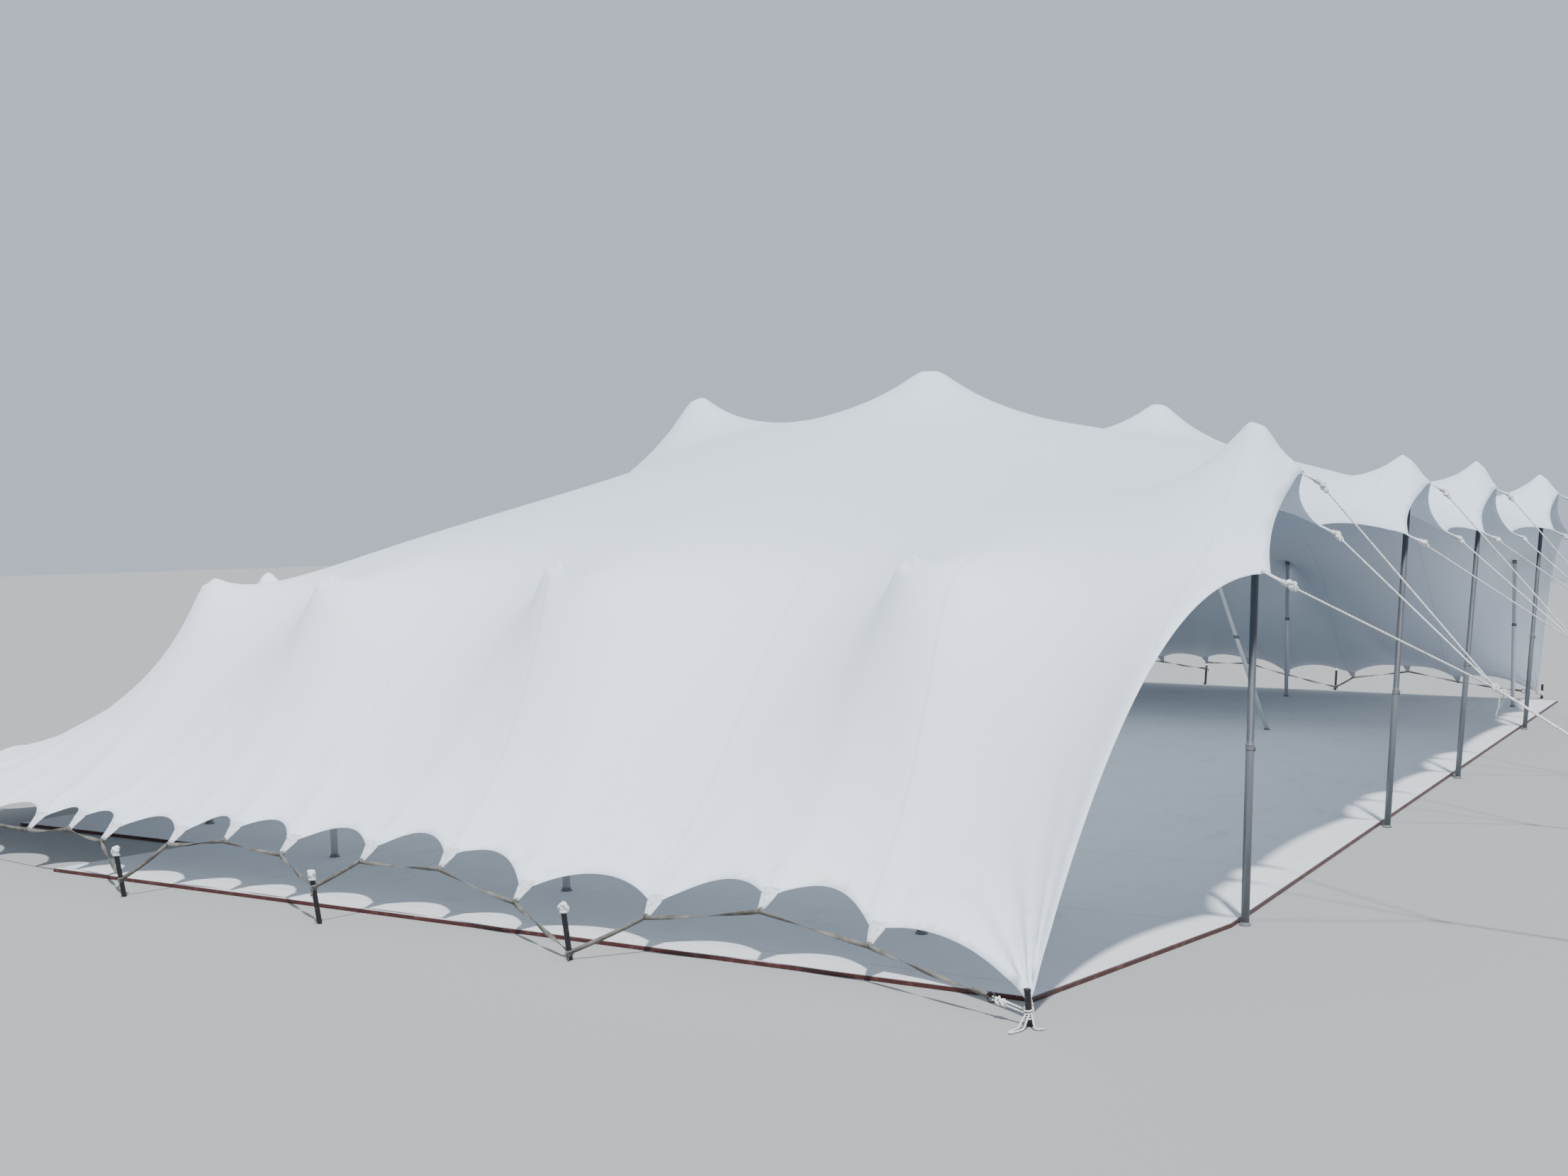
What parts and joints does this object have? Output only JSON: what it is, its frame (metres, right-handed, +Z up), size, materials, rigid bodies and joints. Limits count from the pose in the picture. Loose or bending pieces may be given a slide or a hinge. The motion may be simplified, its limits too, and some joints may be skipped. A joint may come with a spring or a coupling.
{
  "type": "white stretch tent",
  "caption": "Free-form stretch marquee: white canopy tensioned over raking tube poles, tied down on three sides, guyed open on the fourth, with a boarded floor.",
  "frame": {"origin": "centre of the floor's underside, on the ground", "axes": "+X out of the open, guyed side; +Y along the open side, away from the viewer of the picture; +Z up"},
  "size_m": [14.8908, 19.498, 3.92],
  "materials": {
    "canopy_cloth": "white coated stretch cloth, matt, with lengthwise welded seams",
    "floor_board": "red-brown film-faced board with raw worn edges",
    "floor_matting": "pale grey needle-felt matting, matt",
    "pole_tube": "dull weathered tube with scuffs",
    "guy_rope": "white twisted rope",
    "webbing": "dirty grey woven webbing",
    "stake_steel": "black painted steel bar, chipped"
  },
  "bodies": {
    "root": {"canopy_far_skirt": "canopy_cloth", "canopy_left_skirt": "canopy_cloth", "canopy_near_skirt": "canopy_cloth", "canopy_roof_1": "canopy_cloth", "canopy_roof_2": "canopy_cloth", "canopy_roof_3": "canopy_cloth", "far_corner_pole": "pole_tube", "far_pole_1": "pole_tube", "far_pole_2": "pole_tube", "far_pole_3": "pole_tube", "far_tie_line": "webbing", "floor_bay_1": "floor_board", "floor_bay_2": "floor_board", "floor_bay_3": "floor_board", "floor_front_row": "floor_board", "floor_matting": "floor_matting", "guy_rope_1": "guy_rope", "guy_rope_2": "guy_rope", "guy_rope_3": "guy_rope", "guy_rope_4": "guy_rope", "guy_stake_1": "stake_steel", "guy_stake_2": "stake_steel", "guy_stake_3": "stake_steel", "guy_stake_4": "stake_steel", "left_pole_1": "pole_tube", "left_pole_2": "pole_tube", "left_pole_3": "pole_tube", "left_pole_4": "pole_tube", "left_tie_line": "webbing", "near_corner_pole": "pole_tube", "near_pole_1": "pole_tube", "near_pole_2": "pole_tube", "near_pole_3": "pole_tube", "near_tie_line": "webbing", "open_side_pole_1": "pole_tube", "open_side_pole_2": "pole_tube", "open_side_pole_3": "pole_tube", "open_side_pole_4": "pole_tube", "tall_pole_1": "pole_tube", "tall_pole_2": "pole_tube", "tall_pole_3": "pole_tube", "tall_pole_4": "pole_tube"}
  },
  "joints": []
}
